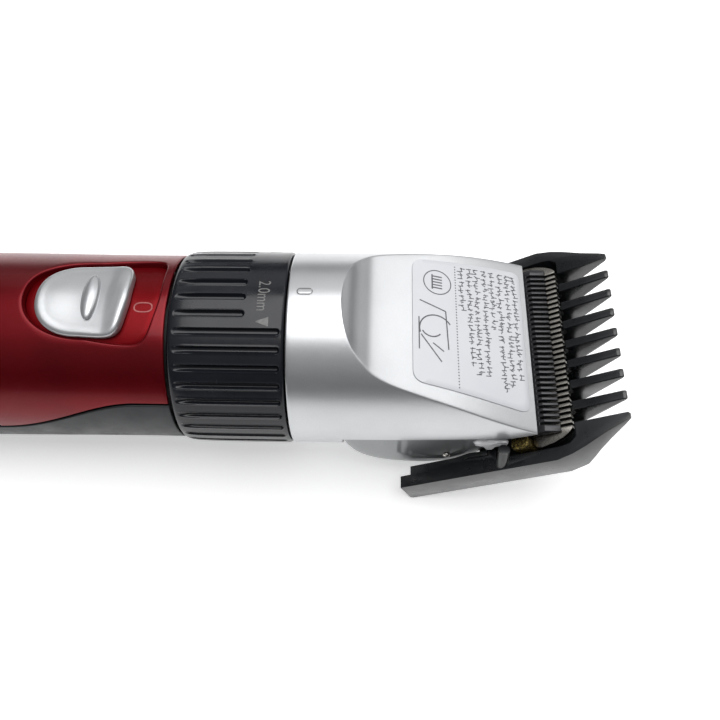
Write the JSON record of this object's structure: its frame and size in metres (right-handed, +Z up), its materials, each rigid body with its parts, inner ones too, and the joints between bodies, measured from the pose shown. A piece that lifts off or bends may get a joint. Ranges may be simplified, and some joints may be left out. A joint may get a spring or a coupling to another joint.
{
  "type": "hair clipper",
  "caption": "Cordless hair clipper: round grip with thumb slide switch, fluted length ring, sloped silver head, toothed blade cassette and clip-on guide comb.",
  "frame": {"origin": "on the surface it lies on, under the middle of the whole clipper's box, with the belly flat and the comb's heels at z 0", "axes": "+X towards the blade, +Y to the left seen from behind the grip, +Z up through the thumb switch; the grip's own axis rises 3.8 degrees towards +X"},
  "size_m": [0.1868, 0.05, 0.0465],
  "materials": {
    "shell_red": "candy red metallic lacquer under clear gloss",
    "shell_dark": "satin dark grey moulding",
    "ring_black": "glossy black moulding",
    "head_silver": "satin silver paint on plastic",
    "slider_silver": "satin silver paint on plastic",
    "steel": "ground steel",
    "blade_black": "black ceramic-coated, polished",
    "brass": "speckled, dull",
    "clear_plastic": "clear moulded plastic",
    "comb_black": "satin black moulding",
    "label_film": "printed film",
    "nylon": "natural white",
    "nickel": "nickel plate",
    "board_green": "solder mask",
    "cell_blue": "shrink sleeve",
    "lens_clear": "clear lens",
    "lead_red": "insulated wire",
    "lead_black": "insulated wire"
  },
  "bodies": {
    "handle": {"upper_shell": "shell_red", "lower_shell": "shell_dark", "switch_plate": "shell_red", "tail_cap": "shell_dark", "charging_socket": "ring_black", "socket_pin": "nickel", "status_led": "lens_clear", "circuit_board": "board_green", "switch_body": "nickel", "battery_cell": "cell_blue", "battery_tab_front": "nickel", "battery_tab_rear": "nickel", "battery_cradle": "shell_dark", "casing_screw_front": "steel", "casing_screw_rear": "steel", "motor_lead_near": "lead_red", "motor_lead_far": "lead_black", "neck_tube": "nylon", "ring_detent_spring": "steel", "head_shell": "head_silver", "head_lower_housing": "head_silver", "face_label": "label_film", "motor_can": "nickel", "motor_end_bell": "nylon", "motor_mount": "shell_dark", "motor_screw_near": "steel", "motor_screw_far": "steel", "hinge_pin": "steel", "hinge_bracket": "nickel"},
    "switch": {"power_slider": "slider_silver"},
    "ring": {"adjusting_ring": "ring_black", "ring_cam": "nylon"},
    "pusher": {"pusher": "nylon"},
    "cassette": {"fixed_blade": "steel", "blade_frame": "ring_black", "blade_spring_near": "steel", "blade_spring_far": "steel", "blade_screw_near": "steel", "blade_screw_far": "steel", "side_block_near": "brass", "side_block_far": "brass", "side_clip_near": "clear_plastic", "side_clip_far": "clear_plastic"},
    "cutter_setting": {"setting_slide": "nylon"},
    "cutter": {"moving_blade": "blade_black", "blade_driver": "nylon"},
    "motor_rotor": {"motor_shaft": "steel", "eccentric_cam": "nylon"},
    "comb": {"guide_comb": "comb_black"}
  },
  "joints": [
    {"name": "power_switch", "type": "slide", "parent": "handle", "child": "switch", "axis": [0.9978, 0, 0.0663], "range_m": [0, 0.0045]},
    {"name": "ring_turn", "type": "hinge", "parent": "handle", "child": "ring", "pos_m": [0.01635, 0, 0.02472], "axis": [0.9978, 0, 0.0663], "range_deg": [0, 120]},
    {"name": "pusher_slide", "type": "slide", "parent": "handle", "child": "pusher", "axis": [0.9978, 0, 0.0663], "range_m": [0, 0.0016]},
    {"name": "cassette_tilt", "type": "hinge", "parent": "handle", "child": "cassette", "pos_m": [0.06308, 0, 0.0153], "axis": [0, 1, 0], "range_deg": [0, 40]},
    {"name": "length_setting", "type": "slide", "parent": "cassette", "child": "cutter_setting", "axis": [0.7901, 0, 0.6129], "range_m": [0, 0.00185]},
    {"name": "blade_stroke", "type": "slide", "parent": "cutter_setting", "child": "cutter", "axis": [0, 1, 0], "range_m": [-0.001, 0.001]},
    {"name": "motor_spin", "type": "hinge", "parent": "handle", "child": "motor_rotor", "pos_m": [0.04143, 0, 0.02439], "axis": [0.9978, 0, 0.0663], "continuous": true},
    {"name": "comb_pull", "type": "slide", "parent": "cassette", "child": "comb", "axis": [0.6129, 0, -0.7901], "range_m": [0, 0.012]}
  ],
  "couplings": [
    {"joint": "pusher_slide", "follows": "ring_turn", "m_per_rad": 0.00076394},
    {"joint": "length_setting", "follows": "ring_turn", "m_per_rad": 0.00088331}
  ]
}
